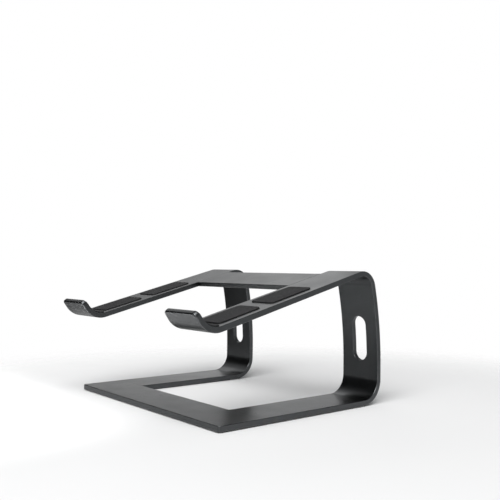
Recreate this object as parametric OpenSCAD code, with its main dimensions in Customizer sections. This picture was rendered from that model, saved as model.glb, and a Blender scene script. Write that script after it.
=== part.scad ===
// Laptop stand: a flat front bar, two bent side frames, a crossbar between the
// arms, rubber pads and feet, and the countersunk screws that hold it together.
// Millimetres. X across the stand, Y from front to rear, Z up from the table.
// The origin is the centre of the stand's outline on the table.
// Heights and depths below are measured from the table and from the front edge
// of the base.

/* [Plates] */
// Overall width across the two side frames
stand_w = 240; // [210:1:280]
// Thickness of every plate
plate_t = 5; // [5:0.5:6]
// Width of each side frame
frame_w = 45; // [42:1:52]

/* [Base] */
// Depth of the front bar, front to rear
front_d = 45.5; // [45:0.5:54]
// Radius of the front bar's two front corners
corner_r = 3; // [1:0.5:6]
// Distance from the front edge to the start of the lower bend
base_len = 175; // [165:1:190]
// Inside radius of the lower bend
low_bend_r = 18.5; // [14:0.5:24]

/* [Leg] */
// Height at which the leg starts to lean forward
leg_rise = 38; // [36:1:44]
// Radius of the leaning part, on its rear face
lean_r = 350; // [320:5:400]
// Angle that the leg has leaned when it meets the top bend
lean_a = 12.9; // [11:0.1:14]
// Inside radius of the top bend
top_bend_r = 12.5; // [9:0.5:16]

/* [Arm and hook] */
// Slope of the arm, in degrees
arm_a = 14.8; // [12:0.1:17]
// How far the hook's sharp outer corner would lie in front of the base
hook_reach = 11.2; // [6:0.1:16]
// Inside radius of the hook
hook_r = 16; // [13:0.5:20]
// Angle of the lip above the table
lip_a = 52.7; // [48:0.1:65]
// Straight length of the lip
lip_len = 9.5; // [7:0.5:14]
// Radius of the lip's two corners
lip_corner_r = 4; // [2:0.5:6]
// Radius along the lip's end edges
lip_edge_r = 1.5; // [0.5:0.1:2]

/* [Cable slots] */
// Width of the slot in each leg
slot_w = 17; // [12:1:22]
// Length of the slot, end to end
slot_len = 44.5; // [36:0.5:50]
// Height of the slot's middle
slot_z = 62.9; // [60:0.1:68]

/* [Upper crossbar] */
// Width of the crossbar, along the arm
cross_w = 45; // [42:1:50]
// Distance along the arm from the top bend to the crossbar
cross_set = 9; // [6:1:16]

/* [Lap joints] */
// Thickness of the tongues
tongue_t = 2.2; // [2:0.1:2.4]
// Width of the tongues
tongue_w = 33; // [30:1:34]
// Length of the tongues
tongue_l = 33; // [30:0.5:33]
// Distance between the two screws of a joint
screw_gap = 20; // [16:1:22]

/* [Pads and feet] */
// How far the feet hold the base above the table
foot_h = 1; // [0.8:0.1:1.5]
// Depth of the shallow recesses that hold the feet and the arm pads
recess = 0.5; // [0.3:0.1:0.6]
// How far the arm pads stand above the arm
pad_h = 1; // [0.6:0.1:1.5]
// Thickness of the pad that lines each hook
hook_pad_t = 1.2; // [1:0.1:1.6]

/* [Hidden] */
$fn = 96;

METAL = [0.22, 0.23, 0.24];
METAL2 = [0.25, 0.26, 0.27];
RUBBER = [0.05, 0.05, 0.055];
STEEL = [0.4, 0.4, 0.42];

// M3 countersunk screws
sc_r = 1.45;        // shank
sc_hole_r = 1.5;    // tapped hole
sc_pass_r = 1.7;    // clearance hole
sc_head_r = 2.8;    // head
sc_sink = 0.15;     // head below the surface
sc_len = 4;         // whole length
lap_gap = 0.15;     // side clearance of a tongue in its pocket
blend = 0.006;      // each round stands this far proud, so it crosses its straight neighbours cleanly
in_w = stand_w / 2 - frame_w;      // inner side of a side frame
mid_x = stand_w / 2 - frame_w / 2; // middle of a side frame
y_rear = base_len + low_bend_r + plate_t;
z_low_c = foot_h + plate_t + low_bend_r;   // centre of the lower bend
// centre of the top bend
top_c = [y_rear - lean_r + (lean_r - plate_t - top_bend_r) * cos(lean_a),
    leg_rise + (lean_r - plate_t - top_bend_r) * sin(lean_a)];
// where the arm's underside leaves the top bend
arm_top = top_c + top_bend_r * [-sin(arm_a), cos(arm_a)];
// the hook
turn_a = arm_a + lip_a;
hook_t = (hook_r + plate_t) * tan(turn_a / 2);
arm_len = (arm_top[0] + hook_reach) / cos(arm_a) - hook_t;
// where the arm's underside meets the hook
arm_low = arm_top - arm_len * [cos(arm_a), sin(arm_a)];
hook_c = arm_low + (hook_r + plate_t) * [-sin(arm_a), cos(arm_a)];
hook_end = -90 - lip_a;
// centre of the round on the lip's outer edge, and so the foremost point
tip_x = hook_r + plate_t - lip_edge_r;
tip_y = -(lip_len - lip_edge_r);
y_front = hook_c[0] + tip_x * cos(hook_end) - tip_y * sin(hook_end) - lip_edge_r;
y_mid = (y_front + y_rear) / 2;
// place of the crossbar along the arm, measured from the hook
cross_at = arm_len - cross_set - cross_w;
// arm pads, measured along the arm from the hook
pad_w = 30;
front_pad = [4, 46];
rear_pad = [cross_at - 56, 50];

// a ring's sector in the plane, from angle a to angle b
module sector(ro, ri, a, b, n = 180) {
    m = (a + b) / 2;
    k = 2 * ro;
    intersection() {
        difference() {
            circle(r = ro, $fn = n);
            circle(r = ri, $fn = n);
        }
        polygon([[0, 0], k * [cos(a), sin(a)], k * [cos(m), sin(m)], k * [cos(b), sin(b)]]);
    }
}

// a rectangle with round corners, lower left corner at the origin
module round_rect(w, d, r) {
    translate([r, 0]) square([w - 2 * r, d]);
    translate([0, r]) square([w, d - 2 * r]);
    for (x = [r, w - r], y = [r, d - r]) translate([x, y]) circle(r = r, $fn = 48);
}

// everything that lies inside the bent plate's curve, drawn up to a distance e
// outside its inner face: under the arm, before the leg, above the base
module inside_of(e, base_front, lip_end, out) {
    low = foot_h + plate_t - e;             // height of the base line
    rear = y_rear - plate_t + e;            // depth of the upright line
    big = lean_r - plate_t + e;             // radius of the leaning part
    big_c = [y_rear - lean_r, leg_rise];
    lean_dir = [cos(lean_a), sin(lean_a)];
    up = [-sin(arm_a), cos(arm_a)];         // square to the arm
    lip_out = [cos(hook_end), sin(hook_end)];     // square to the lip, outward
    lip_dir = [sin(hook_end), -cos(hook_end)];    // along the lip, upward
    lean_end = big_c + big * lean_dir;
    arm_start = top_c + (top_bend_r + e) * up;
    arm_end = arm_low + e * up;
    lip_start = hook_c + (hook_r + plate_t - e) * lip_out;
    lip_stop = lip_start + lip_end * lip_dir;
    difference() {
        union() {
            polygon([[base_front, low], [base_len, low], [rear, z_low_c], [rear, leg_rise],
                lean_end, arm_start, arm_end, lip_start, lip_stop, lip_stop + out * lip_out,
                [min(base_front, lip_stop[0] + out * lip_out[0]), foot_h + plate_t + 3],
                [base_front, foot_h + plate_t + 3]]);
            translate([base_len, z_low_c]) circle(r = low_bend_r + e + blend, $fn = 180);
            translate(top_c) circle(r = top_bend_r + e + blend, $fn = 180);
            intersection() {
                translate(big_c) circle(r = big + blend / 2, $fn = 1440);
                polygon([[rear - 20, leg_rise - 3], [rear + 5, leg_rise - 3], lean_end + 5 * lean_dir, lean_end - 12 * lean_dir]);
            }
        }
        translate(hook_c) circle(r = hook_r + plate_t - e + blend, $fn = 180);
    }
}

// the bent plate seen from the side: depth to the right, height up
module side_profile() {
    difference() {
        inside_of(plate_t, front_d, -tip_y, plate_t + 3);
        inside_of(0, front_d - 3, -tip_y + 3, 9);
    }
    // the lip's end, with its edges rounded
    translate(hook_c) rotate(hook_end) {
        translate([hook_r + lip_edge_r, -lip_len]) square([plate_t - 2 * lip_edge_r, lip_len - 1]);
        for (x = [hook_r + lip_edge_r, tip_x]) translate([x, tip_y]) circle(r = lip_edge_r + blend, $fn = 48);
    }
}

// moves a shape drawn in the side view, with its width upward, to its place at x
module stand_up(x = 0) {
    translate([x, -y_mid, 0]) rotate([90, 0, 90]) children();
}

// the frame of the arm: along the arm, through its thickness, across it
module on_arm() {
    translate([arm_low[0], arm_low[1], 0]) rotate([0, 0, arm_a]) children();
}

// a screw along +Z with its head at the origin's level
module screw() {
    difference() {
        union() {
            translate([0, 0, sc_sink])
                cylinder(r1 = sc_head_r, r2 = sc_r, h = sc_head_r - sc_r, $fn = 96);
            translate([0, 0, sc_sink + (sc_head_r - sc_r) / 2])
                cylinder(r = sc_r, h = sc_len - (sc_head_r - sc_r) / 2, $fn = 96);
        }
        // hexagon socket, 2 mm across its flats
        translate([0, 0, sc_sink - 1]) cylinder(r = 1 / cos(30), h = 2.1, $fn = 6);
    }
}

// the countersunk hole through a tongue, and the tapped hole beyond it
module sink_hole() {
    translate([0, 0, -1]) cylinder(r = sc_pass_r, h = tongue_t + 2, $fn = 96);
    translate([0, 0, -0.5])
        cylinder(r1 = sc_head_r + sc_sink + 0.5, r2 = sc_pass_r,
            h = sc_head_r + 0.5 + sc_sink - sc_pass_r, $fn = 96);
}
module tapped_hole() {
    translate([0, 0, tongue_t - 1]) cylinder(r = sc_hole_r, h = plate_t - tongue_t + 1 - 0.6, $fn = 96);
}

// places of the two screws of a base joint, and of an arm joint
module at_base_screws(side, which) {
    x = side * (mid_x + which * screw_gap / 2);
    translate([x, front_d - tongue_l / 2 - y_mid, foot_h]) children();
}
module at_arm_screws(which) {
    // inside the frame of the arm, across it to the right
    translate([cross_at + cross_w / 2 + which * screw_gap / 2, 0, in_w + tongue_l / 2])
        rotate([-90, 0, 0]) children();
}

// the right side frame
module side_frame() {
    difference() {
        union() {
            stand_up(in_w) linear_extrude(frame_w) side_profile();
            // tongue under the front bar
            translate([mid_x - tongue_w / 2, front_d - tongue_l - y_mid, foot_h])
                linear_extrude(tongue_t) round_rect(tongue_w, tongue_l + 12, 3);
        }
        // cable slot, square to the leg at its middle
        stand_up(mid_x) translate([y_rear - lean_r, leg_rise, 0])
            rotate([0, 0, asin((slot_z - leg_rise) / (lean_r - plate_t / 2))])
                translate([lean_r - plate_t - 10, 0, 0]) {
                    for (s = [-1, 1]) translate([0, s * (slot_len - slot_w) / 2, 0])
                        rotate([0, 90, 0]) cylinder(r = slot_w / 2, h = plate_t + 20, $fn = 180);
                    translate([0, -(slot_len - slot_w) / 2, -slot_w / 2])
                        cube([plate_t + 20, slot_len - slot_w, slot_w]);
                }
        // round corners of the lip
        stand_up(mid_x) translate([hook_c[0], hook_c[1], 0]) rotate([0, 0, hook_end])
            for (s = [-1, 1]) mirror([0, 0, s > 0 ? 1 : 0]) difference() {
                translate([hook_r - 2, -lip_len - 2, -frame_w / 2 - 2])
                    cube([plate_t + 4, lip_corner_r + 2, lip_corner_r + 2]);
                translate([hook_r - 3, lip_corner_r - lip_len, lip_corner_r - frame_w / 2])
                    rotate([0, 90, 0]) cylinder(r = lip_corner_r + 0.01, h = plate_t + 6, $fn = 96);
            }
        // pocket for the crossbar's tongue
        stand_up() on_arm()
            translate([cross_at + (cross_w - tongue_w) / 2 - lap_gap, tongue_t, in_w - 10])
                rotate([90, 0, 0]) linear_extrude(tongue_t + 1)
                    round_rect(tongue_w + 2 * lap_gap, tongue_l + 10 + lap_gap, 3);
        // tapped holes of the arm joint
        for (w = [-1, 1]) stand_up() on_arm() at_arm_screws(w) tapped_hole();
        // countersunk holes of the base joint
        for (w = [-1, 1]) at_base_screws(1, w) sink_hole();
        // recesses for the arm pads and the side foot
        for (p = [front_pad, rear_pad]) stand_up() on_arm()
            translate([p[0], plate_t + 1, mid_x - pad_w / 2]) rotate([90, 0, 0])
                linear_extrude(recess + 1) round_rect(p[1], pad_w, 4);
        translate([in_w + 2.5, 58 - y_mid, foot_h - 1])
            linear_extrude(recess + 1) round_rect(12, 110, 4);
    }
}

// an arm pad in its recess, on the right arm
module arm_pad(p) {
    stand_up() on_arm() translate([p[0], plate_t + pad_h, mid_x - pad_w / 2])
        rotate([90, 0, 0]) linear_extrude(recess + pad_h) round_rect(p[1], pad_w, 4);
}

// the pad that lines the right hook
module hook_pad() {
    inset = 2.5;
    stand_up(in_w + inset) linear_extrude(frame_w - 2 * inset) {
        translate(hook_c) sector(hook_r, hook_r - hook_pad_t, hook_end, -90 + arm_a);
        translate(hook_c) rotate(hook_end)
            translate([hook_r - hook_pad_t, -(lip_len - 3)]) square([hook_pad_t, lip_len - 3]);
    }
}

module side_foot() {
    translate([in_w + 2.5, 58 - y_mid, 0]) linear_extrude(foot_h + recess) round_rect(12, 110, 4);
}

module front_foot() {
    translate([stand_w / 2 - 8 - 66, 3 - y_mid, 0]) linear_extrude(foot_h + recess) round_rect(66, 7.5, 3);
}

module front_bar() {
    color(METAL) difference() {
        translate([-stand_w / 2, -y_mid, foot_h]) linear_extrude(plate_t) union() {
            translate([0, corner_r]) square([stand_w, front_d - corner_r]);
            translate([corner_r, 0]) square([stand_w - 2 * corner_r, front_d]);
            for (x = [corner_r, stand_w - corner_r]) translate([x, corner_r]) circle(r = corner_r, $fn = 96);
        }
        for (s = [-1, 1]) {
            // pocket for the side frame's tongue
            translate([s * mid_x - tongue_w / 2 - lap_gap, front_d - tongue_l - lap_gap - y_mid, foot_h - 1])
                linear_extrude(tongue_t + 1) round_rect(tongue_w + 2 * lap_gap, tongue_l + 10, 3);
            for (w = [-1, 1]) at_base_screws(s, w) tapped_hole();
        }
        // recesses for the front feet
        for (s = [0, 1]) mirror([s, 0, 0])
            translate([stand_w / 2 - 8 - 66, 3 - y_mid, foot_h - 1])
                linear_extrude(recess + 1) round_rect(66, 7.5, 3);
    }
}

module left_side_frame() {
    color(METAL) mirror([1, 0, 0]) side_frame();
}

module right_side_frame() {
    color(METAL) side_frame();
}

module upper_crossbar() {
    color(METAL2) difference() {
        stand_up() on_arm() union() {
            translate([cross_at, 0, -in_w]) cube([cross_w, plate_t, 2 * in_w]);
            translate([cross_at + (cross_w - tongue_w) / 2, tongue_t, -in_w - tongue_l])
                rotate([90, 0, 0]) linear_extrude(tongue_t)
                    round_rect(tongue_w, 2 * (in_w + tongue_l), 3);
        }
        for (s = [0, 1], w = [-1, 1]) mirror([s, 0, 0]) stand_up() on_arm() at_arm_screws(w) sink_hole();
    }
}

module left_hook_pad() { color(RUBBER) mirror([1, 0, 0]) hook_pad(); }
module right_hook_pad() { color(RUBBER) hook_pad(); }
module left_front_arm_pad() { color(RUBBER) mirror([1, 0, 0]) arm_pad(front_pad); }
module right_front_arm_pad() { color(RUBBER) arm_pad(front_pad); }
module left_rear_arm_pad() { color(RUBBER) mirror([1, 0, 0]) arm_pad(rear_pad); }
module right_rear_arm_pad() { color(RUBBER) arm_pad(rear_pad); }
module left_front_foot() { color(RUBBER) mirror([1, 0, 0]) front_foot(); }
module right_front_foot() { color(RUBBER) front_foot(); }
module left_side_foot() { color(RUBBER) mirror([1, 0, 0]) side_foot(); }
module right_side_foot() { color(RUBBER) side_foot(); }

module base_screw(side, which) { color(STEEL) at_base_screws(side, which) screw(); }
module arm_screw(which) { color(STEEL) stand_up() on_arm() at_arm_screws(which) screw(); }
module left_base_screw_outer() { base_screw(-1, 1); }
module left_base_screw_inner() { base_screw(-1, -1); }
module right_base_screw_outer() { base_screw(1, 1); }
module right_base_screw_inner() { base_screw(1, -1); }
module left_arm_screw_front() { mirror([1, 0, 0]) arm_screw(-1); }
module left_arm_screw_rear() { mirror([1, 0, 0]) arm_screw(1); }
module right_arm_screw_front() { arm_screw(-1); }
module right_arm_screw_rear() { arm_screw(1); }

front_bar();
left_side_frame();
right_side_frame();
upper_crossbar();
left_hook_pad();
right_hook_pad();
left_front_arm_pad();
right_front_arm_pad();
left_rear_arm_pad();
right_rear_arm_pad();
left_front_foot();
right_front_foot();
left_side_foot();
right_side_foot();
left_base_screw_outer();
left_base_screw_inner();
right_base_screw_outer();
right_base_screw_inner();
left_arm_screw_front();
left_arm_screw_rear();
right_arm_screw_front();
right_arm_screw_rear();
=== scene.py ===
import math

import bmesh
import bpy
from mathutils import Matrix, Vector


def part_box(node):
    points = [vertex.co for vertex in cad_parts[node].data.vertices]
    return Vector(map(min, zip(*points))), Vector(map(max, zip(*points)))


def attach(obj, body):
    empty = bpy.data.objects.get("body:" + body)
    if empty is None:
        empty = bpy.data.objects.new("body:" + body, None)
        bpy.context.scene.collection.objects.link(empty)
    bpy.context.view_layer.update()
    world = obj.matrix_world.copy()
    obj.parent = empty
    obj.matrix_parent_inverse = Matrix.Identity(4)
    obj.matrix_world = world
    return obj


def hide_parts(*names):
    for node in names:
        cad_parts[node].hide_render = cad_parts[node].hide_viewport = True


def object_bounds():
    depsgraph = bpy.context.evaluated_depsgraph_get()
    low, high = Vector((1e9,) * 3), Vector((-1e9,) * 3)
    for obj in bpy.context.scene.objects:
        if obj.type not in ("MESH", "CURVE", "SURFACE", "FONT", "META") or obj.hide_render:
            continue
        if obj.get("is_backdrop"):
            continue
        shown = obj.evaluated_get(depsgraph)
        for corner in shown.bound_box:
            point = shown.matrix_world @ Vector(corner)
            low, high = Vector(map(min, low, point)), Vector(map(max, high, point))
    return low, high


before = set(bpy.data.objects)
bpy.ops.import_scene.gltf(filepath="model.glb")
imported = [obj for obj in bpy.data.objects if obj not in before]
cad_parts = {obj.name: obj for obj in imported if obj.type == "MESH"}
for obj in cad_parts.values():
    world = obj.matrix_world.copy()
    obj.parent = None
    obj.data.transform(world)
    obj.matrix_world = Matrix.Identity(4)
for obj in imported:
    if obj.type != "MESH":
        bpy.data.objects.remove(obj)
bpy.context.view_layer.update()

# ---------------------------------------------------------------- dimensions
# Millimetres, as in the CAD. "depth" is measured from the front edge of the base.
MM = 0.001
W, T, FW, FRONT = 240.0, 5.0, 45.0, 45.5
BASE_LEN, LOW_R, RISE, LEAN_R, LEAN_A = 175.0, 18.5, 38.0, 350.0, 12.9
TOP_R, ARM_A, REACH, HOOK_R, LIP_A, LIP_LEN = 12.5, 14.8, 11.2, 16.0, 52.7, 9.5
LIP_EDGE, LIP_CORNER = 1.5, 4.0
SLOT_W, SLOT_L, SLOT_Z = 17.0, 44.5, 62.9
CROSS_W, CROSS_SET = 45.0, 9.0
TONGUE_T, TONGUE_W, TONGUE_L, GAP = 2.2, 33.0, 33.0, 0.15
FOOT_H, RECESS, PAD_H, HOOK_PAD_T, PAD_W = 1.0, 0.5, 1.0, 1.2, 30.0
IN_W, MID_X = W / 2 - FW, W / 2 - FW / 2
Y_REAR = BASE_LEN + LOW_R + T


def rad(a):
    return math.radians(a)


def pol(r, a):
    """A point at radius r and angle a (degrees) in the side view."""
    return Vector((r * math.cos(rad(a)), r * math.sin(rad(a))))


LOW_C = Vector((BASE_LEN, FOOT_H + T + LOW_R))
LEAN_C = Vector((Y_REAR - LEAN_R, RISE))
TOP_C = LEAN_C + pol(LEAN_R - T - TOP_R, LEAN_A)
ARM_TOP = TOP_C + TOP_R * Vector((-math.sin(rad(ARM_A)), math.cos(rad(ARM_A))))
HOOK_T = (HOOK_R + T) * math.tan(rad((ARM_A + LIP_A) / 2))
ARM_LEN = (ARM_TOP.x + REACH) / math.cos(rad(ARM_A)) - HOOK_T
ARM_DIR = Vector((math.cos(rad(ARM_A)), math.sin(rad(ARM_A))))
ARM_UP = Vector((-ARM_DIR.y, ARM_DIR.x))
ARM_LOW = ARM_TOP - ARM_LEN * ARM_DIR
HOOK_C = ARM_LOW + (HOOK_R + T) * ARM_UP
HOOK_END = -90 - LIP_A
LIP_OUT = pol(1, HOOK_END)
LIP_DIR = Vector((LIP_OUT.y, -LIP_OUT.x))
tip = HOOK_C + (HOOK_R + T - LIP_EDGE) * LIP_OUT + (LIP_LEN - LIP_EDGE) * LIP_DIR
Y_MID = (tip.x - LIP_EDGE + Y_REAR) / 2
CROSS_AT = ARM_LEN - CROSS_SET - CROSS_W
FRONT_PAD, REAR_PAD = (4.0, 46.0), (CROSS_AT - 56.0, 50.0)

# the numbers above have to give the frame's own boxes
for node, axis, want in (
    ("front_bar", 1, (-Y_MID, FRONT - Y_MID)),
    ("right_side_frame", 0, (IN_W, W / 2)),
    ("right_hook_pad", 0, (IN_W + 2.5, W / 2 - 2.5)),
):
    lo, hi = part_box(node)
    assert abs(lo[axis] / MM - want[0]) < 0.05 and abs(hi[axis] / MM - want[1]) < 0.05, node
lo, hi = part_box("right_side_frame")
assert abs(lo.y / MM - (tip.x - LIP_EDGE - Y_MID)) < 0.05 and abs(hi.y / MM - (Y_REAR - Y_MID)) < 0.05
assert abs(hi.z / MM - (TOP_C.y + TOP_R + T)) < 0.05


def side_view(p, x):
    """A point of the side view (depth, height), at x across the stand, in mm in the row frame."""
    return Vector((x, p.x - Y_MID, p.y))


def on_arm(along, up, x):
    return side_view(ARM_LOW + along * ARM_DIR + up * ARM_UP, x)


# ---------------------------------------------------------------- mesh tools
def mesh_object(name, bm):
    for f in bm.faces:
        f.smooth = True
    bmesh.ops.recalc_face_normals(bm, faces=bm.faces)
    if bm.calc_volume(signed=True) < 0:
        bmesh.ops.reverse_faces(bm, faces=bm.faces)
    me = bpy.data.meshes.new(name)
    bm.to_mesh(me)
    bm.free()
    ob = bpy.data.objects.new(name, me)
    bpy.context.scene.collection.objects.link(ob)
    return ob


def miter(points):
    """For each point of a closed outline, the vector to add for an offset of 1 to the outside (counterclockwise outline)."""
    out = []
    n = len(points)
    for i, p in enumerate(points):
        a, b = points[i - 1], points[(i + 1) % n]
        e1, e2 = (p - a).normalized(), (b - p).normalized()
        n1, n2 = Vector((e1.y, -e1.x)), Vector((e2.y, -e2.x))
        out.append((n1 + n2) / max(1 + n1.dot(n2), 0.2))
    return out


def rings_of(points, lows, highs, height, steps, support, inward=True):
    """The rings of a plate's rounded edge, from the low face over the side to the high face.
    Each ring is a list of (point in the plane, height), with its place on the edge: 0 on a face, 1 on the round."""
    sign = -1 if inward else 1
    m = miter(points)
    rings, marks = [], []

    def ring(inset, level, mark):
        rings.append([(p + sign * inset[i] * m[i], level[i]) for i, p in enumerate(points)])
        marks.append(mark)

    n = range(len(points))
    wall = height - max(lows) - max(highs) > 2.5      # a side tall enough to carry two more rings
    if support:
        ring([lows[i] + support for i in n], [0.0] * len(points), 0.0)
    # the edge mark peaks halfway round each edge, where the plates get their lighter edge colour (partly wear, partly a
    # painted highlight)
    for k in range(steps + 1):
        a = math.pi / 2 * k / steps
        ring([lows[i] * (1 - math.sin(a)) for i in n], [lows[i] * (1 - math.cos(a)) for i in n], math.sin(2 * a) ** 0.5 if 0 < k < steps else 0.1)
    if support and wall:
        ring([0.0] * len(points), [lows[i] + 0.8 for i in n], 0.0)
        ring([0.0] * len(points), [height - highs[i] - 0.8 for i in n], 0.0)
    for k in range(steps, -1, -1):
        a = math.pi / 2 * k / steps
        ring([highs[i] * (1 - math.sin(a)) for i in n], [height - highs[i] * (1 - math.cos(a)) for i in n], math.sin(2 * a) ** 0.5 if 0 < k < steps else 0.1)
    if support:
        ring([highs[i] + support for i in n], [height] * len(points), 0.0)
    return rings, marks


def slab(name, points, height, low=0.3, high=0.3, place=None, steps=4, support=1.2):
    """A flat plate with a round edge. points is a counterclockwise outline; place maps (u, v, height) to the row frame, in mm."""
    points = [Vector(p) for p in points]
    n = len(points)
    lows = list(low) if hasattr(low, "__len__") else [low] * n
    highs = list(high) if hasattr(high, "__len__") else [high] * n
    rings, marks = rings_of(points, lows, highs, height, steps, support)
    bm = bmesh.new()
    edge_wear_and_sheen = bm.verts.layers.float.new("edge_wear_and_sheen")
    verts = []
    for ring, mark in zip(rings, marks):
        row = []
        for p, z in ring:
            v = bm.verts.new(place(p.x, p.y, z) * MM)
            v[edge_wear_and_sheen] = mark
            row.append(v)
        verts.append(row)
    for a, b in zip(verts, verts[1:]):
        for i in range(n):
            j = (i + 1) % n
            bm.faces.new((a[i], a[j], b[j], b[i]))
    bm.faces.new(list(reversed(verts[0])))
    bm.faces.new(verts[-1])
    return mesh_object(name, bm)


def rect(x0, y0, x1, y1, corners, per=8):
    """A counterclockwise rectangle from (x0, y0) to (x1, y1). corners is the radius at each corner, from the lower left one."""
    out = []
    for (cx, cy, a), r in zip(((x0, y0, 180), (x1, y0, 270), (x1, y1, 0), (x0, y1, 90)), corners):
        sx, sy = (1 if cx == x0 else -1), (1 if cy == y0 else -1)
        if r <= 0:
            out.append(Vector((cx, cy)))
            continue
        for k in range(per + 1):
            out.append(Vector((cx + sx * r, cy + sy * r)) + pol(r, a + 90 * k / per))
    return out


def filled(points, longest):
    """The outline with points added on its long sides."""
    out = []
    for i, p in enumerate(points):
        q = points[(i + 1) % len(points)]
        k = max(1, math.ceil((q - p).length / longest))
        out += [p.lerp(q, j / k) for j in range(k)]
    return out


class Line:
    def __init__(self, start, along, normal, length):
        self.start, self.along, self.normal, self.length = start, along, normal, length

    def at(self, s, t):
        return self.start + s * self.along + t * self.normal


class Arc:
    """An arc from angle a to angle b. The face t = 0 has radius r, and t grows outward (side 1) or inward (side -1)."""

    def __init__(self, centre, r, a, b, side, mid):
        self.centre, self.r, self.a, self.b, self.side = centre, r, a, b, side
        self.length = (r + side * mid) * rad(abs(b - a))

    def at(self, s, t):
        return self.centre + pol(self.r + self.side * t, self.a + (self.b - self.a) * s / self.length)


class Path:
    def __init__(self, *parts):
        self.parts, self.starts, total = parts, [], 0.0
        for p in parts:
            self.starts.append(total)
            total += p.length
        self.length = total

    def at(self, s, t):
        for p, start in zip(self.parts, self.starts):
            if s <= start + p.length + 1e-9 or p is self.parts[-1]:
                return p.at(s - start, t)


def ribbon(name, path, height, stations, halves, low, high, x_mid, hole=None, steps=4, support=1.2):
    """A plate bent along path. stations are lengths along it and halves the half widths there; hole is (first station, half outline
    of the hole from tip to tip as (length, half width), round of its edge)."""
    n = len(stations)
    outline = [Vector((s, -h)) for s, h in zip(stations, halves)]
    outline += [Vector((s, h)) for s, h in reversed(list(zip(stations, halves)))]
    lows, highs = list(low) + list(reversed(low)), list(high) + list(reversed(high))
    rings, marks = rings_of(outline, lows, highs, height, steps, support)
    bm = bmesh.new()
    edge_wear_and_sheen = bm.verts.layers.float.new("edge_wear_and_sheen")

    def rows(rings, marks):
        out = []
        for ring, mark in zip(rings, marks):
            row = []
            for p, t in ring:
                v = bm.verts.new(side_view(path.at(p.x, t), x_mid + p.y) * MM)
                v[edge_wear_and_sheen] = mark
                row.append(v)
            out.append(row)
        for a, b in zip(out, out[1:]):
            for i in range(len(a)):
                j = (i + 1) % len(a)
                bm.faces.new((a[i], a[j], b[j], b[i]))
        return out

    edge = rows(rings, marks)
    inner = None
    if hole:
        first, half, edge_r = hole
        m = len(half)
        # counterclockwise, so that an offset to the outside goes into the plate
        loop = [Vector((s, -h)) for s, h in half] + [Vector((s, h)) for s, h in reversed(half[1:-1])]
        r = [edge_r] * len(loop)
        hole_rings, hole_marks = rings_of(loop, r, r, height, steps, support, inward=False)
        inner = rows(hole_rings, hole_marks)
    for side in (0, -1):
        e = edge[side]
        near, far = e[:n], list(reversed(e[n:]))
        i = 0
        while i < n - 1:
            if hole and i == first:
                h = inner[side]
                a = h[:m]
                b = [h[0]] + list(reversed(h[m:])) + [h[m - 1]]
                bm.faces.new((near[first], a[0], far[first]))
                for k in range(m - 1):
                    bm.faces.new((near[first + k], near[first + k + 1], a[k + 1], a[k]))
                    bm.faces.new((far[first + k], b[k], b[k + 1], far[first + k + 1]))
                bm.faces.new((near[first + m - 1], far[first + m - 1], a[m - 1]))
                i += m - 1
                continue
            bm.faces.new((near[i], near[i + 1], far[i + 1], far[i]))
            i += 1
    return mesh_object(name, bm)


def prism(points, z0, z1, place):
    """A plain closed cutter."""
    bm = bmesh.new()
    a = [bm.verts.new(place(p[0], p[1], z0) * MM) for p in points]
    b = [bm.verts.new(place(p[0], p[1], z1) * MM) for p in points]
    bm.faces.new(list(reversed(a)))
    bm.faces.new(b)
    for i in range(len(a)):
        j = (i + 1) % len(a)
        bm.faces.new((a[i], a[j], b[j], b[i]))
    return mesh_object("cutter", bm)


def turned(levels, place, around=48):
    """A closed turned solid from (height, radius) pairs. Radius 0 closes an end in a point."""
    bm = bmesh.new()
    rows = []
    for z, r in levels:
        if r == 0:
            rows.append([bm.verts.new(place(0, 0, z) * MM)])
        else:
            rows.append([bm.verts.new(place(*(pol(r, 360 * k / around)), z) * MM) for k in range(around)])
    for a, b in zip(rows, rows[1:]):
        for i in range(around):
            j = (i + 1) % around
            if len(a) == 1:
                bm.faces.new((a[0], b[j], b[i]))
            elif len(b) == 1:
                bm.faces.new((a[i], a[j], b[0]))
            else:
                bm.faces.new((a[i], a[j], b[j], b[i]))
    if len(rows[0]) > 1:
        bm.faces.new(list(reversed(rows[0])))
    if len(rows[-1]) > 1:
        bm.faces.new(rows[-1])
    return mesh_object("cutter", bm)


def cut(ob, tools, how="DIFFERENCE"):
    """Applies boolean tools to a piece and removes them."""
    for tool in tools:
        m = ob.modifiers.new("cut", "BOOLEAN")
        m.operation, m.solver, m.object = how, "EXACT", tool
    dg = bpy.context.evaluated_depsgraph_get()
    me = bpy.data.meshes.new_from_object(ob.evaluated_get(dg), preserve_all_data_layers=True, depsgraph=dg)
    ob.modifiers.clear()
    old = ob.data
    ob.data = me
    me.name = ob.name
    bpy.data.meshes.remove(old)
    for tool in tools:
        d = tool.data
        bpy.data.objects.remove(tool)
        bpy.data.meshes.remove(d)
    return ob


def tidy(ob, angle=38.0):
    """Smooth faces, sharp edges by angle, and normals that keep the flat faces flat."""
    bm = bmesh.new()
    bm.from_mesh(ob.data)
    bmesh.ops.remove_doubles(bm, verts=bm.verts, dist=1e-7)
    bmesh.ops.dissolve_degenerate(bm, dist=1e-7, edges=bm.edges)
    for f in bm.faces:
        f.smooth = True
    for e in bm.edges:
        e.smooth = not (len(e.link_faces) == 2 and e.calc_face_angle(0.0) > rad(angle))
    bm.to_mesh(ob.data)
    bm.free()
    w = ob.modifiers.new("normals", "WEIGHTED_NORMAL")
    w.keep_sharp = True
    w.weight = 80
    return ob


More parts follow.
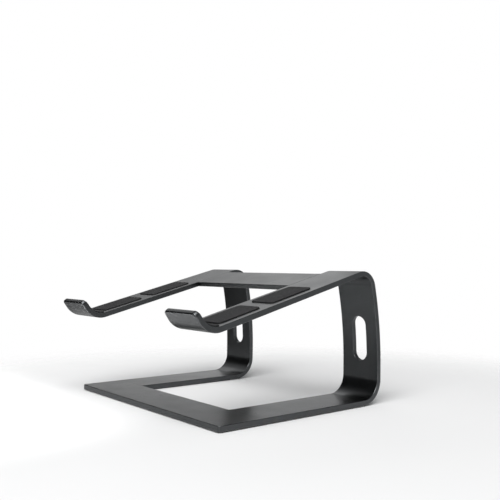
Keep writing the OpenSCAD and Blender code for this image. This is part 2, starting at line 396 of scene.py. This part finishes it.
def mirrored(ob, name):
    """The same piece on the other side of the stand."""
    bm = bmesh.new()
    bm.from_mesh(ob.data)
    bmesh.ops.transform(bm, matrix=Matrix.Diagonal((-1, 1, 1, 1)), verts=bm.verts)
    bmesh.ops.reverse_faces(bm, faces=bm.faces)
    me = bpy.data.meshes.new(name)
    bm.to_mesh(me)
    bm.free()
    new = bpy.data.objects.new(name, me)
    bpy.context.scene.collection.objects.link(new)
    for m in ob.modifiers:
        w = new.modifiers.new(m.name, m.type)
        w.keep_sharp, w.weight = m.keep_sharp, m.weight
    return new


# ---------------------------------------------------------------- side frames
BODY = Path(
    Line(Vector((FRONT, FOOT_H + T)), Vector((1, 0)), Vector((0, -1)), BASE_LEN - FRONT),
    Arc(LOW_C, LOW_R, -90, 0, 1, T / 2),
    Line(Vector((Y_REAR - T, LOW_C.y)), Vector((0, 1)), Vector((1, 0)), RISE - LOW_C.y),
    Arc(LEAN_C, LEAN_R - T, 0, LEAN_A, 1, T / 2),
    Arc(TOP_C, TOP_R, LEAN_A, 90 + ARM_A, 1, T / 2),
    Line(ARM_TOP, -ARM_DIR, ARM_UP, ARM_LEN),
    Arc(HOOK_C, HOOK_R + T, -90 + ARM_A, HOOK_END, -1, T / 2),
    Line(HOOK_C + (HOOK_R + T) * LIP_OUT, LIP_DIR, -LIP_OUT, LIP_LEN),
)
S = BODY.starts
EDGE = 0.6      # round of the long edges
JOINT = 0.16    # round where two plates meet

slot_mid = S[3] + (LEAN_R - T / 2) * math.asin((SLOT_Z - RISE) / (LEAN_R - T / 2))
straight, rs = (SLOT_L - SLOT_W) / 2, SLOT_W / 2
slot_half = []
for k in range(13):
    a = 90 * k / 12
    slot_half.append((slot_mid - straight - rs * math.cos(rad(a)), rs * math.sin(rad(a))))
for k in range(1, 10):
    slot_half.append((slot_mid - straight + 2 * straight * k / 10, rs))
for k in range(13):
    a = 90 * k / 12
    slot_half.append((slot_mid + straight + rs * math.sin(rad(a)), rs * math.cos(rad(a))))
slot_half[0] = (slot_half[0][0], 0.0)
slot_half[-1] = (slot_half[-1][0], 0.0)


def spread(a, b, count, first=True):
    return [a + (b - a) * k / count for k in range(0 if first else 1, count + 1)]


zone_a, zone_b = slot_half[0][0] - 3.0, slot_half[-1][0] + 3.0
stations = [0.0, 3.0] + spread(3.0, S[1], 14, False)
stations += spread(S[1], S[2], 30, False) + spread(S[2], zone_a, 4, False)[:-1]
slot_first = len(stations)
stations += spread(zone_a, zone_b, len(slot_half) - 1)
stations += spread(zone_b, S[4], 12, False)
stations += spread(S[4], S[5], 30, False) + spread(S[5], S[6], 20, False) + spread(S[6], S[7], 24, False)
end = BODY.length
stations += spread(S[7], end - LIP_CORNER, 3, False)
halves = [FW / 2] * len(stations)
for k in range(1, 9):
    a = rad(90 * k / 8)
    stations.append(end - LIP_CORNER + LIP_CORNER * math.sin(a))
    halves.append(FW / 2 - LIP_CORNER + LIP_CORNER * math.cos(a))


def edge_round(s):
    """The round of the frame's edge along its length: small at the joint, full on the lip."""
    if s < 0.5:
        return JOINT
    k = min(1.0, max(0.0, (s - (end - 12)) / 10))
    return EDGE + (LIP_EDGE - EDGE) * k * k * (3 - 2 * k)


rounds = [edge_round(s) for s in stations]
right_frame = ribbon(
    "right_side_frame_body", BODY, T, stations, halves, rounds, rounds, MID_X, hole=(slot_first, slot_half, 0.5)
)


def flat(x, y, z):
    """(x, depth, height above the table)."""
    return Vector((x, y - Y_MID, z))


def arm(u, v, w):
    """(along the arm, across the stand, up from the arm's underside)."""
    return on_arm(u, w, v)


def up_from(z):
    return lambda x, y, h: flat(x, y, z + h)


def arm_from(w):
    return lambda u, v, h: arm(u, v, w + h)


# tongue under the front bar
tongue = slab(
    "cutter",
    rect(MID_X - TONGUE_W / 2, FRONT - TONGUE_L, MID_X + TONGUE_W / 2, FRONT + 10, (3, 3, 0, 0)),
    TONGUE_T, 0.2, 0.2, up_from(FOOT_H), steps=2, support=0,
)
cut(right_frame, [tongue], "UNION")


def base_screw_places(side):
    return [(side * (MID_X + k * 10), FRONT - TONGUE_L / 2) for k in (-1, 1)]


def arm_screw_places(side):
    return [(CROSS_AT + CROSS_W / 2 + k * 10, side * (IN_W + TONGUE_L / 2)) for k in (-1, 1)]


def sink(place):
    return turned([(-1, 3.95), (1.25, 1.7), (TONGUE_T + 1, 1.7)], place)


def tapped(place):
    return turned([(TONGUE_T - 1, 1.5), (T - 0.9, 1.5), (T - 0.6, 1.2)], place)


def about(x, y, place):
    return lambda u, v, h: place(x + u, y + v, h)


def arm_rect(start, length, half, r, grow=0.0):
    return rect(start - grow, MID_X - half - grow, start + length + grow, MID_X + half + grow, (r,) * 4)


tools = [
    prism(arm_rect(*p, PAD_W / 2, 4.0, 0.04), T - RECESS, T + 1, arm) for p in (FRONT_PAD, REAR_PAD)
]
tools.append(prism(rect(IN_W + 2.5 - 0.04, 58 - 0.04, IN_W + 14.5 + 0.04, 168.04, (4,) * 4), FOOT_H - 1, FOOT_H + RECESS, flat))
tools.append(
    prism(
        rect(CROSS_AT + (CROSS_W - TONGUE_W) / 2 - GAP, IN_W - 10, CROSS_AT + (CROSS_W + TONGUE_W) / 2 + GAP, IN_W + TONGUE_L + GAP, (0, 0, 3, 3)),
        -1, TONGUE_T, arm,
    )
)
for x, y in base_screw_places(1):
    tools.append(sink(about(x, y, up_from(FOOT_H))))
for u, v in arm_screw_places(1):
    tools.append(tapped(about(u, v, arm)))
tidy(cut(right_frame, tools))
left_frame = mirrored(right_frame, "left_side_frame_body")

# ---------------------------------------------------------------- front bar
points = filled(rect(-W / 2, 0, W / 2, FRONT, (3, 3, 0, 0)), 7.5)
i = points.index(Vector((W / 2, FRONT)))
points.insert(i, Vector((W / 2, FRONT - 3)))
points.insert(i + 2, Vector((W / 2 - 3, FRONT)))
for x in (IN_W + 1, -IN_W - 1, -W / 2 + 3):
    i = next(k for k, p in enumerate(points) if p.y > FRONT - 0.01 and p.x < x)
    points.insert(i, Vector((x, FRONT)))
points.insert(points.index(Vector((-W / 2, FRONT))) + 1, Vector((-W / 2, FRONT - 3)))
r = [JOINT if p.y > FRONT - 0.01 and abs(p.x) > IN_W + 0.01 else EDGE for p in points]
front_bar = slab("front_bar_body", points, T, r, r, up_from(FOOT_H))
tools = []
for side in (-1, 1):
    m = side * MID_X
    tools.append(
        prism(rect(m - TONGUE_W / 2 - GAP, FRONT - TONGUE_L - GAP, m + TONGUE_W / 2 + GAP, FRONT + 6, (3, 3, 0, 0)), FOOT_H - 1, FOOT_H + TONGUE_T, flat)
    )
    a, b = sorted((side * (W / 2 - 74), side * (W / 2 - 8)))
    tools.append(prism(rect(a - 0.04, 3 - 0.04, b + 0.04, 10.54, (3,) * 4), FOOT_H - 1, FOOT_H + RECESS, flat))
    for x, y in base_screw_places(side):
        tools.append(tapped(about(x, y, up_from(FOOT_H))))
tidy(cut(front_bar, tools))

# ---------------------------------------------------------------- upper crossbar
points = filled(rect(CROSS_AT, -IN_W, CROSS_AT + CROSS_W, IN_W, (0,) * 4), 7.5)
r = [JOINT if abs(p.y) > IN_W - 0.01 else EDGE for p in points]
crossbar = slab("upper_crossbar_body", points, T, r, r, arm)
far = IN_W + TONGUE_L
tongue = slab(
    "cutter",
    rect(CROSS_AT + (CROSS_W - TONGUE_W) / 2, -far, CROSS_AT + (CROSS_W + TONGUE_W) / 2, far, (3,) * 4),
    TONGUE_T, 0.2, 0.2, arm, steps=2, support=0,
)
cut(crossbar, [tongue], "UNION")
tidy(cut(crossbar, [sink(about(u, v, arm)) for side in (-1, 1) for u, v in arm_screw_places(side)]))

# ---------------------------------------------------------------- rubber
front_arm_pad = tidy(slab("right_front_arm_pad_body", arm_rect(*FRONT_PAD, PAD_W / 2, 4.0), RECESS + PAD_H, 0.1, 0.45, arm_from(T - RECESS)))
rear_arm_pad = tidy(slab("right_rear_arm_pad_body", arm_rect(*REAR_PAD, PAD_W / 2, 4.0), RECESS + PAD_H, 0.1, 0.45, arm_from(T - RECESS)))
side_foot = tidy(slab("right_side_foot_body", rect(IN_W + 2.5, 58, IN_W + 14.5, 168, (4,) * 4), FOOT_H + RECESS, 0.35, 0.1, up_from(0)))
front_foot = tidy(slab("right_front_foot_body", rect(W / 2 - 74, 3, W / 2 - 8, 10.5, (3,) * 4), FOOT_H + RECESS, 0.35, 0.1, up_from(0)))
lining = Path(
    Arc(HOOK_C, HOOK_R, -90 + ARM_A, HOOK_END, -1, HOOK_PAD_T / 2),
    Line(HOOK_C + HOOK_R * LIP_OUT, LIP_DIR, -LIP_OUT, LIP_LEN - 3),
)
st = spread(0, lining.starts[1], 26) + spread(lining.starts[1], lining.length - 2.5, 3, False)
hv = [20.0] * len(st)
for k in range(1, 7):
    a = rad(90 * k / 6)
    st.append(lining.length - 2.5 + 2.5 * math.sin(a))
    hv.append(17.5 + 2.5 * math.cos(a))
hook_pad = tidy(ribbon("right_hook_pad_body", lining, HOOK_PAD_T, st, hv, [0.05] * len(st), [0.4] * len(st), MID_X, support=0.5))

# ---------------------------------------------------------------- screws
def screw(name, place):
    """A countersunk screw with a hexagon socket, its head at height 0.15, pointing up."""
    n = 48
    bm = bmesh.new()
    edge_wear_and_sheen = bm.verts.layers.float.new("edge_wear_and_sheen")

    def circle(r, z, mark=0.0):
        row = [bm.verts.new(place(*pol(r, 360 * k / n), z) * MM) for k in range(n)]
        for v in row:
            v[edge_wear_and_sheen] = mark
        return row

    def hexagon(flats, z, mark=0.0):
        row = []
        for k in range(n):
            a = 360 * k / n
            row.append(bm.verts.new(place(*pol(flats / 2 / math.cos(rad((a + 30) % 60 - 30)), a), z) * MM))
            row[-1][edge_wear_and_sheen] = mark
        return row

    rows = [
        hexagon(0.5, 1.55), hexagon(1.99, 1.25), hexagon(2.0, 0.27), hexagon(2.14, 0.15, 0.8),
        circle(2.5, 0.15, 0.1), circle(2.66, 0.165, 1.0), circle(2.76, 0.23, 1.0), circle(2.74, 0.32, 0.4),
        circle(1.52, 1.5), circle(1.45, 1.62), circle(1.45, 3.8), circle(1.2, 4.1),
    ]
    for a, b in zip(rows, rows[1:]):
        for i in range(n):
            j = (i + 1) % n
            bm.faces.new((a[i], a[j], b[j], b[i]))
    bm.faces.new(rows[0])
    bm.faces.new(rows[-1])
    return tidy(mesh_object(name, bm), 28.0)


screws = {}
for side, word in ((-1, "left"), (1, "right")):
    for which, (x, y) in zip(("inner", "outer"), base_screw_places(side)):
        screws[f"{word}_base_screw_{which}"] = screw(f"{word}_base_screw_{which}_body", about(x, y, up_from(FOOT_H)))
    for which, (u, v) in zip(("front", "rear"), arm_screw_places(side)):
        screws[f"{word}_arm_screw_{which}"] = screw(f"{word}_arm_screw_{which}_body", about(u, v, arm))

# ---------------------------------------------------------------- materials
def nodes_of(name):
    mat = bpy.data.materials.new(name)
    mat.use_nodes = True
    nt = mat.node_tree
    return mat, nt, nt.nodes["Principled BSDF"]


def add(nt, kind, **values):
    n = nt.nodes.new(kind)
    for k, v in values.items():
        if k.startswith("in_"):
            n.inputs[int(k[3:]) if k[3:].isdigit() else k[3:].replace("_", " ")].default_value = v
        else:
            setattr(n, k, v)
    return n


def noise(nt, scale, detail=2.0, rough=0.5):
    co = nt.nodes.get("Texture Coordinate") or nt.nodes.new("ShaderNodeTexCoord")
    n = add(nt, "ShaderNodeTexNoise", in_Scale=scale, in_Detail=detail, in_Roughness=rough)
    nt.links.new(co.outputs["Object"], n.inputs["Vector"])
    return n.outputs["Fac"]


def spread_to(nt, value, lo, hi, a=0.3, b=0.7):
    """Maps a noise value from [a, b] to [lo, hi]."""
    m = add(nt, "ShaderNodeMapRange", in_1=a, in_2=b, in_3=lo, in_4=hi)
    nt.links.new(value, m.inputs[0])
    return m.outputs[0]


def maths(nt, op, a, b=None):
    m = nt.nodes.new("ShaderNodeMath")
    m.operation = op
    for i, v in enumerate((a, b)):
        if v is None:
            continue
        if hasattr(v, "is_linked"):
            nt.links.new(v, m.inputs[i])
        else:
            m.inputs[i].default_value = v
    return m.outputs[0]


def blended(nt, fac, a, b):
    m = nt.nodes.new("ShaderNodeMix")
    m.data_type = "RGBA"
    if hasattr(fac, "is_linked"):
        nt.links.new(fac, m.inputs[0])
    else:
        m.inputs[0].default_value = fac
    for v, i in ((a, 6), (b, 7)):
        if hasattr(v, "is_linked"):
            nt.links.new(v, m.inputs[i])
        else:
            m.inputs[i].default_value = (*v, 1.0)
    return m.outputs[2]


def anodised(name, tone, light, edge, rough):
    """Bead-blasted, anodised aluminium: a fine grain, cloudy satin, and edges painted a little lighter, partly as wear
    and partly as a painted highlight along the rounds.
    """
    mat, nt, bsdf = nodes_of(name)
    bsdf.inputs["Metallic"].default_value = 1.0
    edge_wear_and_sheen = add(nt, "ShaderNodeAttribute", attribute_name="edge_wear_and_sheen").outputs["Fac"]
    cloud = spread_to(nt, noise(nt, 22, 3.0), 0.0, 1.0)
    grain = noise(nt, 2600, 2.0, 0.6)
    scuff_and_sheen_breakup = spread_to(nt, noise(nt, 180, 3.0, 0.55), 0.35, 0.85, 0.38, 0.66)
    base = blended(nt, cloud, tone, light)
    base = blended(nt, spread_to(nt, grain, 0.0, 0.28), base, tuple(0.55 * c for c in tone))
    # the rounds of the edges get a lighter colour broken up by noise: partly edge wear, partly a painted highlight
    rubbed_and_highlit = maths(nt, "MULTIPLY", edge_wear_and_sheen, scuff_and_sheen_breakup)
    base = blended(nt, rubbed_and_highlit, base, edge)
    nt.links.new(base, bsdf.inputs["Base Color"])
    r = maths(nt, "ADD", spread_to(nt, noise(nt, 35, 4.0), rough - 0.03, rough + 0.03), spread_to(nt, grain, -0.02, 0.02))
    r = maths(nt, "SUBTRACT", r, maths(nt, "MULTIPLY", rubbed_and_highlit, 0.06))
    nt.links.new(r, bsdf.inputs["Roughness"])
    bump = add(nt, "ShaderNodeBump", in_Strength=0.22, in_Distance=0.00002)
    nt.links.new(grain, bump.inputs["Height"])
    nt.links.new(bump.outputs["Normal"], bsdf.inputs["Normal"])
    return mat


def rubber(name, tone, light, rough):
    mat, nt, bsdf = nodes_of(name)
    bsdf.inputs["Specular IOR Level"].default_value = 0.35
    cloud = spread_to(nt, noise(nt, 60, 4.0), 0.0, 1.0)
    pebble = add(nt, "ShaderNodeTexVoronoi", in_Scale=1700)
    co = nt.nodes["Texture Coordinate"]
    nt.links.new(co.outputs["Object"], pebble.inputs["Vector"])
    dust = spread_to(nt, noise(nt, 900, 3.0, 0.7), 0.0, 0.5, 0.55, 0.75)
    base = blended(nt, cloud, tone, light)
    base = blended(nt, dust, base, tuple(min(1, 2.2 * c) for c in light))
    nt.links.new(base, bsdf.inputs["Base Color"])
    nt.links.new(spread_to(nt, noise(nt, 500, 3.0), rough - 0.07, rough + 0.07), bsdf.inputs["Roughness"])
    bump = add(nt, "ShaderNodeBump", in_Strength=0.35, in_Distance=0.00004)
    nt.links.new(pebble.outputs["Distance"], bump.inputs["Height"])
    nt.links.new(bump.outputs["Normal"], bsdf.inputs["Normal"])
    return mat


def oxide(name):
    mat, nt, bsdf = nodes_of(name)
    bsdf.inputs["Metallic"].default_value = 1.0
    edge_wear_and_sheen = add(nt, "ShaderNodeAttribute", attribute_name="edge_wear_and_sheen").outputs["Fac"]
    cloud = spread_to(nt, noise(nt, 700, 3.0), 0.0, 1.0)
    base = blended(nt, cloud, (0.045, 0.046, 0.05), (0.085, 0.085, 0.09))
    rubbed_and_highlit = maths(nt, "MULTIPLY", edge_wear_and_sheen, spread_to(nt, noise(nt, 1500, 3.0), 0.2, 0.9, 0.4, 0.65))
    base = blended(nt, rubbed_and_highlit, base, (0.33, 0.33, 0.34))
    nt.links.new(base, bsdf.inputs["Base Color"])
    nt.links.new(spread_to(nt, noise(nt, 1100, 2.0), 0.3, 0.42), bsdf.inputs["Roughness"])
    bump = add(nt, "ShaderNodeBump", in_Strength=0.2, in_Distance=0.00002)
    nt.links.new(noise(nt, 5000, 2.0), bump.inputs["Height"])
    nt.links.new(bump.outputs["Normal"], bsdf.inputs["Normal"])
    return mat


# the third colour is the lighter edge colour: partly wear, partly a painted highlight on the rounds
ALU = anodised("anodised_aluminium", (0.072, 0.0755, 0.078), (0.084, 0.0875, 0.090), (0.165, 0.17, 0.175), 0.31)
PAD = rubber("pad_rubber", (0.010, 0.010, 0.011), (0.017, 0.017, 0.018), 0.78)
FOOT = rubber("foot_rubber", (0.013, 0.013, 0.013), (0.022, 0.022, 0.023), 0.84)
STEEL = oxide("black_oxide_steel")


def finish_piece(ob, mat, node):
    ob.data.materials.clear()
    ob.data.materials.append(mat)
    for p in ob.data.polygons:
        p.material_index = 0
    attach(ob, "root")
    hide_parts(node)


finish_piece(front_bar, ALU, "front_bar")
finish_piece(right_frame, ALU, "right_side_frame")
finish_piece(left_frame, ALU, "left_side_frame")
finish_piece(crossbar, ALU, "upper_crossbar")
for ob, word, mat, slot in (
    (hook_pad, "hook_pad", PAD, "pad_rubber"),
    (front_arm_pad, "front_arm_pad", PAD, "pad_rubber"),
    (rear_arm_pad, "rear_arm_pad", PAD, "pad_rubber"),
    (front_foot, "front_foot", FOOT, "foot_rubber"),
    (side_foot, "side_foot", FOOT, "foot_rubber"),
):
    other = mirrored(ob, "left_" + word + "_body")
    finish_piece(ob, mat, "right_" + word)
    finish_piece(other, mat, "left_" + word)
for node, ob in screws.items():
    finish_piece(ob, STEEL, node)

# ---------------------------------------------------------------- camera
cam = bpy.data.objects.new("camera", bpy.data.cameras.new("camera"))
bpy.context.scene.collection.objects.link(cam)
cam.data.sensor_width = 36
cam.data.lens = 47.98
cam.data.clip_start, cam.data.clip_end = 0.01, 50
az, el, roll = rad(50.26), rad(-1.66), rad(0.65)
back = Vector((math.sin(az) * math.cos(el), -math.cos(az) * math.cos(el), math.sin(el)))
right = (-back).cross(Vector((0, 0, 1))).normalized()
up = right.cross(-back)
cx = right * math.cos(roll) + up * math.sin(roll)
cy = -right * math.sin(roll) + up * math.cos(roll)
cam.matrix_world = Matrix.Translation(Vector((0.54226, -0.40803, 0.13036))) @ Matrix((cx, cy, back)).transposed().to_4x4()
bpy.context.scene.camera = cam

# ---------------------------------------------------------------- studio
SCENE = bpy.context.scene
SCENE.view_settings.view_transform = "Standard"
SCENE.view_settings.look = "None"

bm = bmesh.new()
bmesh.ops.create_circle(bm, cap_ends=True, segments=128, radius=1.5)
for v in bm.verts:
    v.co.z = 0.0
floor = mesh_object("floor", bm)
mat, nt, bsdf = nodes_of("studio_floor")
bsdf.inputs["Base Color"].default_value = (0.86, 0.86, 0.86, 1)
bsdf.inputs["Roughness"].default_value = 0.9
bsdf.inputs["Specular IOR Level"].default_value = 0.1
# the floor fades into the pale surround
co = nt.nodes.new("ShaderNodeTexCoord")
far = nt.nodes.new("ShaderNodeVectorMath")
far.operation = "LENGTH"
off = nt.nodes.new("ShaderNodeVectorMath")
off.operation = "SUBTRACT"
off.inputs[1].default_value = (0.08, 0.04, 0)
nt.links.new(co.outputs["Object"], off.inputs[0])
nt.links.new(off.outputs[0], far.inputs[0])
fade = add(nt, "ShaderNodeMapRange", interpolation_type="SMOOTHSTEP", in_1=0.25, in_2=0.55, in_3=0.0, in_4=1.0)
nt.links.new(far.outputs["Value"], fade.inputs[0])
clear = nt.nodes.new("ShaderNodeBsdfTransparent")
both = nt.nodes.new("ShaderNodeMixShader")
nt.links.new(maths(nt, "MAXIMUM", fade.outputs[0], nt.nodes.new("ShaderNodeNewGeometry").outputs["Backfacing"]), both.inputs[0])
nt.links.new(bsdf.outputs[0], both.inputs[1])
nt.links.new(clear.outputs[0], both.inputs[2])
nt.links.new(both.outputs[0], nt.nodes["Material Output"].inputs["Surface"])
floor.data.materials.append(mat)
floor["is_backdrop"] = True

world = bpy.data.worlds.new("studio")
SCENE.world = world
world.use_nodes = True
nt = world.node_tree
nt.nodes.clear()
out = nt.nodes.new("ShaderNodeOutputWorld")
seen = add(nt, "ShaderNodeBackground", in_Color=(1, 1, 1, 1), in_Strength=1.0)
fill = add(nt, "ShaderNodeBackground", in_Color=(0.97, 0.985, 1.0, 1), in_Strength=0.05)
# an even soft fill, with a dark flag on the front left that keeps the legs deep
towards = nt.nodes.new("ShaderNodeTexCoord")
flag = nt.nodes.new("ShaderNodeVectorMath")
flag.operation = "DOT_PRODUCT"
flag.inputs[1].default_value = Vector((-0.80, -0.55, 0.25)).normalized()
nt.links.new(towards.outputs["Generated"], flag.inputs[0])
level = add(nt, "ShaderNodeMapRange", interpolation_type="SMOOTHSTEP", in_1=0.20, in_2=0.70, in_3=0.28, in_4=0.03)
nt.links.new(flag.outputs["Value"], level.inputs[0])
nt.links.new(level.outputs[0], fill.inputs["Strength"])
path = nt.nodes.new("ShaderNodeLightPath")
mix = nt.nodes.new("ShaderNodeMixShader")
nt.links.new(path.outputs["Is Camera Ray"], mix.inputs[0])
nt.links.new(fill.outputs[0], mix.inputs[1])
nt.links.new(seen.outputs[0], mix.inputs[2])
nt.links.new(mix.outputs[0], out.inputs[0])


def softbox(name, place, at, size, watts, tint=(1, 1, 1)):
    data = bpy.data.lights.new(name, "AREA")
    data.shape, data.size, data.size_y = "RECTANGLE", size[0], size[1]
    data.energy, data.color = watts, tint
    ob = bpy.data.objects.new(name, data)
    ob.location = place
    ob.rotation_euler = (Vector(at) - Vector(place)).to_track_quat("-Z", "Y").to_euler()
    ob.visible_camera = False
    SCENE.collection.objects.link(ob)
    return ob


softbox("back_left", (-1.15, 1.3, 0.52), (0, 0, 0.05), (1.8, 1.2), 0.3)
softbox("horizon", (-1.5, 1.35, 0.08), (0, 0, 0.05), (2.4, 0.25), 5.4)
softbox("left", (-1.25, 0.72, 1.05), (0, 0, 0.05), (1.1, 0.9), 2.9)
softbox("left_high", (-1.3, -0.05, 0.95), (0, -0.05, 0.08), (0.9, 0.6), 1.0)
softbox("back_right", (1.3, 1.2, 0.05), (0, 0, 0.08), (1.5, 1.1), 2.0)
softbox("key", (1.2, -1.7, 2.4), (0, 0, 0), (2.8, 2.8), 128)
front = softbox("front", (-0.18, -0.235, 0.34), (-0.18, -0.2349, 0), (0.42, 0.16), 0.30)
front.data.spread = rad(30)     # a grid keeps it on the floor in front of the stand

lo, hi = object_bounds()
